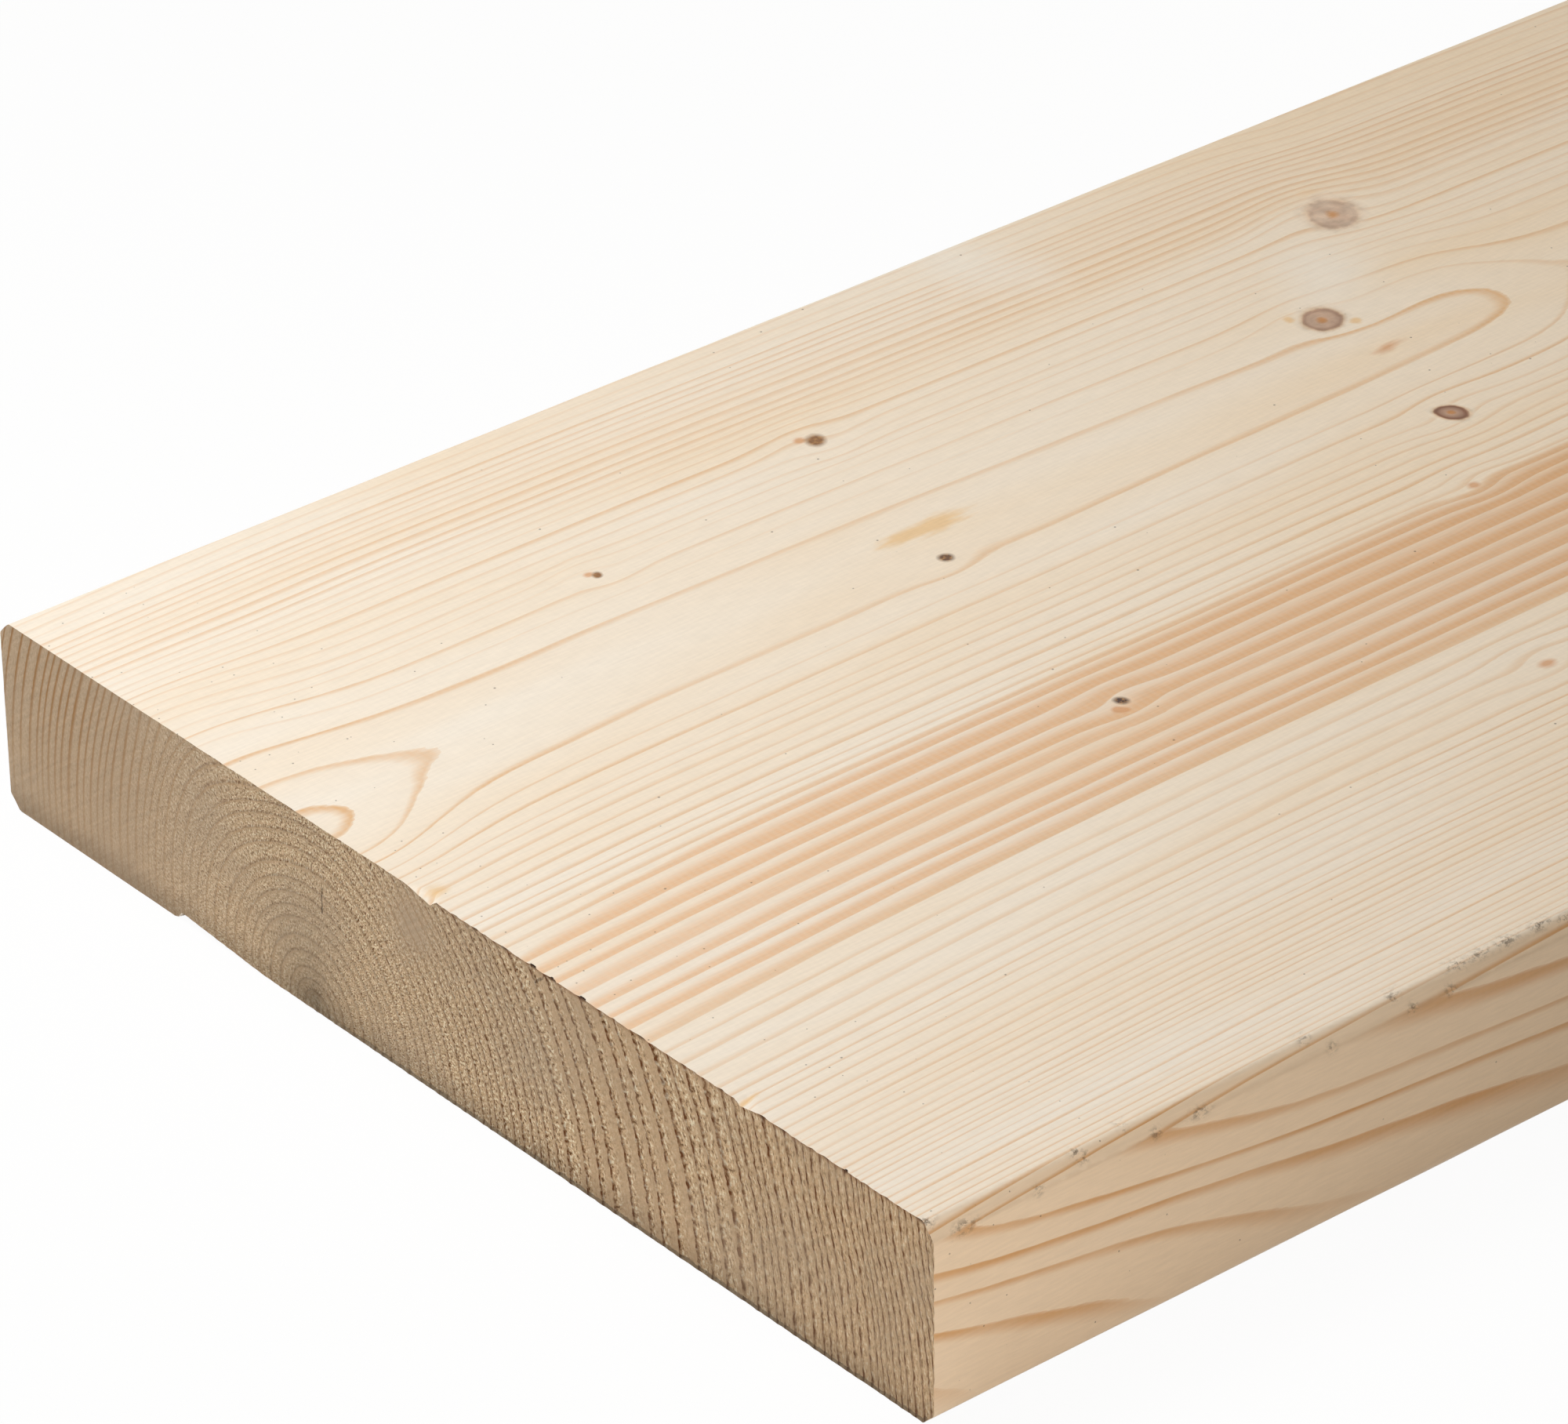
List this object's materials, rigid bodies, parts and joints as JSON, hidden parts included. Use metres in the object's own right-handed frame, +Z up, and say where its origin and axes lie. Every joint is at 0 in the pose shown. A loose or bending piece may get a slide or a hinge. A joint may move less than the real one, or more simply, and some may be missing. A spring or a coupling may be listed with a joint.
{
  "type": "timber plank",
  "caption": "Planed softwood plank of solid timber with chamfered long edges and square cross-cut ends, for decking, shelving, steps or joists.",
  "frame": {"origin": "middle of the underside, on the surface that the plank lies on", "axes": "+X along the grain and the length, away from the end that shows in the picture; +Y across the width; +Z up out of the upper face"},
  "size_m": [1.8, 0.295, 0.045],
  "materials": {
    "planed_spruce": "matte"
  },
  "bodies": {
    "root": {"plank": "planed_spruce"}
  },
  "joints": []
}
